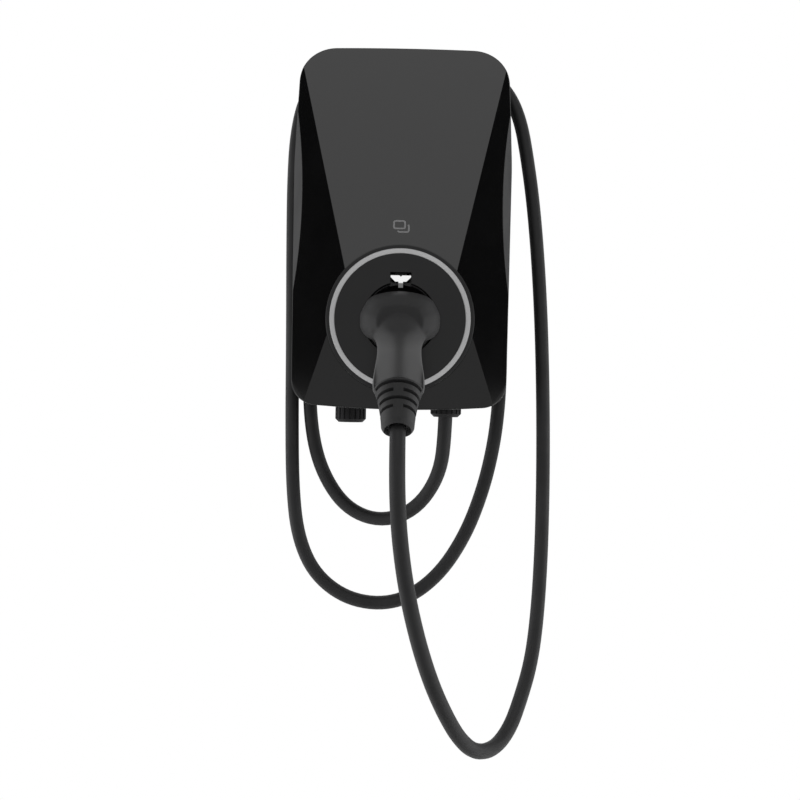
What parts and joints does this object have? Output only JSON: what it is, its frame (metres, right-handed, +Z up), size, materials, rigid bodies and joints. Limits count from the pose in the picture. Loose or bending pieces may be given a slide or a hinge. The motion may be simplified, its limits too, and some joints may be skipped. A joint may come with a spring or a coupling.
{
  "type": "ev wallbox",
  "caption": "Wall-hung car charging station with a faceted cover, a round holster with a light ring, a docked charging plug and its cable wound round the back.",
  "frame": {"origin": "middle of the four wall fixing holes, on the wall plane", "axes": "+Z up, front faces -Y, +X to the right as seen from the front"},
  "size_m": [0.2566, 0.1885, 0.6431],
  "materials": {
    "cover_black": "satin black moulding",
    "bezel_black": "fine satin",
    "housing_black": "fine grain",
    "light_guide": "translucent pale",
    "board_green": "solder mask",
    "relay_case": "moulded",
    "sensor_case": "moulded",
    "supply_case": "potted",
    "capacitor_can": "sleeved",
    "shield_can": "tinned",
    "terminal_grey": "moulded",
    "wire_jacket": "coloured insulation",
    "screw_steel": "zinc plated",
    "bracket_steel": "powder coat",
    "gland_black": "moulded nylon",
    "seal_rubber": "soft",
    "catch_metal": "polished",
    "spring_steel": "spring wire",
    "plug_black": "satin moulding",
    "insert_black": "moulded",
    "contact_silver": "silver plated",
    "boot_rubber": "soft moulding",
    "cable_jacket": "satin jacket",
    "light_source": "small packages"
  },
  "bodies": {
    "housing": {"wall_bracket": "bracket_steel", "lock_screw": "screw_steel", "cable_hub": "housing_black", "hub_screws": "screw_steel", "back_plate": "housing_black", "housing_gasket": "seal_rubber", "main_board": "board_green", "board_screws": "screw_steel", "power_relays": "relay_case", "residual_current_sensor": "sensor_case", "power_supply": "supply_case", "capacitors": "capacitor_can", "radio_module": "shield_can", "supply_terminals": "terminal_grey", "output_terminals": "terminal_grey", "output_wires": "wire_jacket", "inlet_gland_body": "gland_black", "inlet_gland_locknut": "gland_black", "inlet_gland_seal": "seal_rubber", "inlet_gland_nut": "gland_black", "inlet_gland_blank": "seal_rubber", "outlet_gland_body": "gland_black", "outlet_gland_locknut": "gland_black", "outlet_gland_seal": "seal_rubber", "outlet_gland_nut": "gland_black", "front_cover": "cover_black", "cover_screws": "screw_steel", "reader_board": "board_green", "holster_bezel": "bezel_black", "bezel_screws": "screw_steel", "light_ring": "light_guide", "light_board": "board_green", "light_sources": "light_source", "plug_holster": "housing_black", "holster_screws": "screw_steel", "catch_spring": "spring_steel", "plug_insert": "insert_black", "plug_contacts": "contact_silver", "plug_body": "plug_black", "plug_boot": "boot_rubber", "charge_cable": "cable_jacket"},
    "catch": {"plug_catch": "catch_metal"}
  },
  "joints": [
    {"name": "catch_slide", "type": "slide", "parent": "housing", "child": "catch", "axis": [0, 0, 1], "range_m": [0, 0.0024], "stiffness_N_per_m": 400, "springref_m": -0.002, "deforming": ["catch_spring"]}
  ]
}
